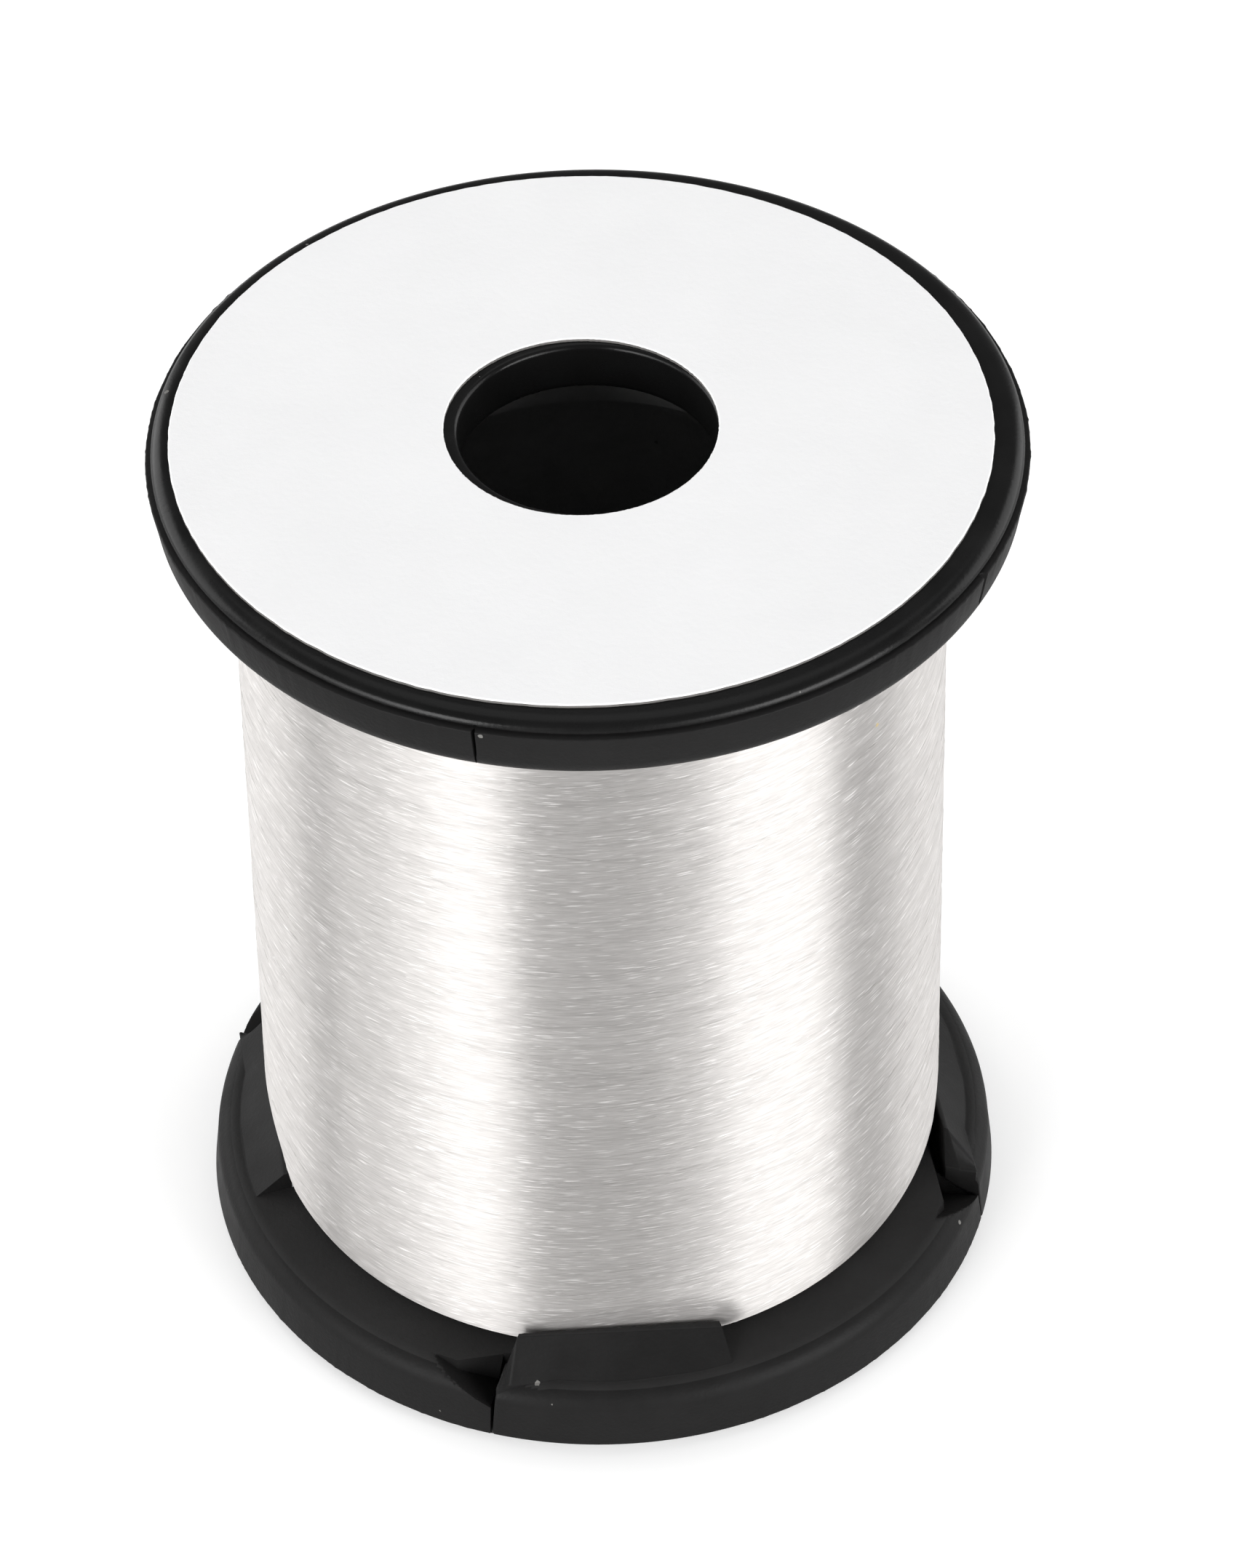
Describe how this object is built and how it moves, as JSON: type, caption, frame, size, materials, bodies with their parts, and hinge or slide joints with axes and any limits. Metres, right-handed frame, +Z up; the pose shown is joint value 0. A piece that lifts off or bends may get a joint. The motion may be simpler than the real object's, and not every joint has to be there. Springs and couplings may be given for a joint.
{
  "type": "fly-tying thread spool",
  "caption": "Small hollow thread spool with a labelled flange at each end, a spindle bore, a full winding of fine pale thread and four spring catches on the lower flange that hold the thread's end.",
  "frame": {"origin": "Centre of the lower flange's outer face, which is what the spool stands on", "axes": "+Z up along the drum's axis, -Y towards the front, +X to the right"},
  "size_m": [0.0224, 0.0224, 0.0273],
  "materials": {
    "black_plastic": "moulded black polystyrene, half glossy, a little dusty",
    "thread": "fine silvery white multifilament thread with a silky sheen",
    "label_paper": "off-white matte label paper"
  },
  "bodies": {
    "spool": {"drum": "black_plastic", "lower_flange": "black_plastic", "upper_flange": "black_plastic", "thread_winding": "thread", "upper_label": "label_paper", "lower_label": "label_paper"},
    "catch_1": {"thread_catch_1": "black_plastic"},
    "catch_2": {"thread_catch_2": "black_plastic"},
    "catch_3": {"thread_catch_3": "black_plastic"},
    "catch_4": {"thread_catch_4": "black_plastic"}
  },
  "joints": [
    {"name": "catch_1_flex", "type": "hinge", "parent": "spool", "child": "catch_1", "pos_m": [0.00366, -0.01064, 0.0011], "axis": [0, 0, 1], "range_deg": [0, 2.5], "stiffness_Nm_per_rad": 0.02},
    {"name": "catch_2_flex", "type": "hinge", "parent": "spool", "child": "catch_2", "pos_m": [0.01064, 0.00366, 0.0011], "axis": [0, 0, 1], "range_deg": [0, 2.5], "stiffness_Nm_per_rad": 0.02},
    {"name": "catch_3_flex", "type": "hinge", "parent": "spool", "child": "catch_3", "pos_m": [-0.00366, 0.01064, 0.0011], "axis": [0, 0, 1], "range_deg": [0, 2.5], "stiffness_Nm_per_rad": 0.02},
    {"name": "catch_4_flex", "type": "hinge", "parent": "spool", "child": "catch_4", "pos_m": [-0.01064, -0.00366, 0.0011], "axis": [0, 0, 1], "range_deg": [0, 2.5], "stiffness_Nm_per_rad": 0.02}
  ]
}
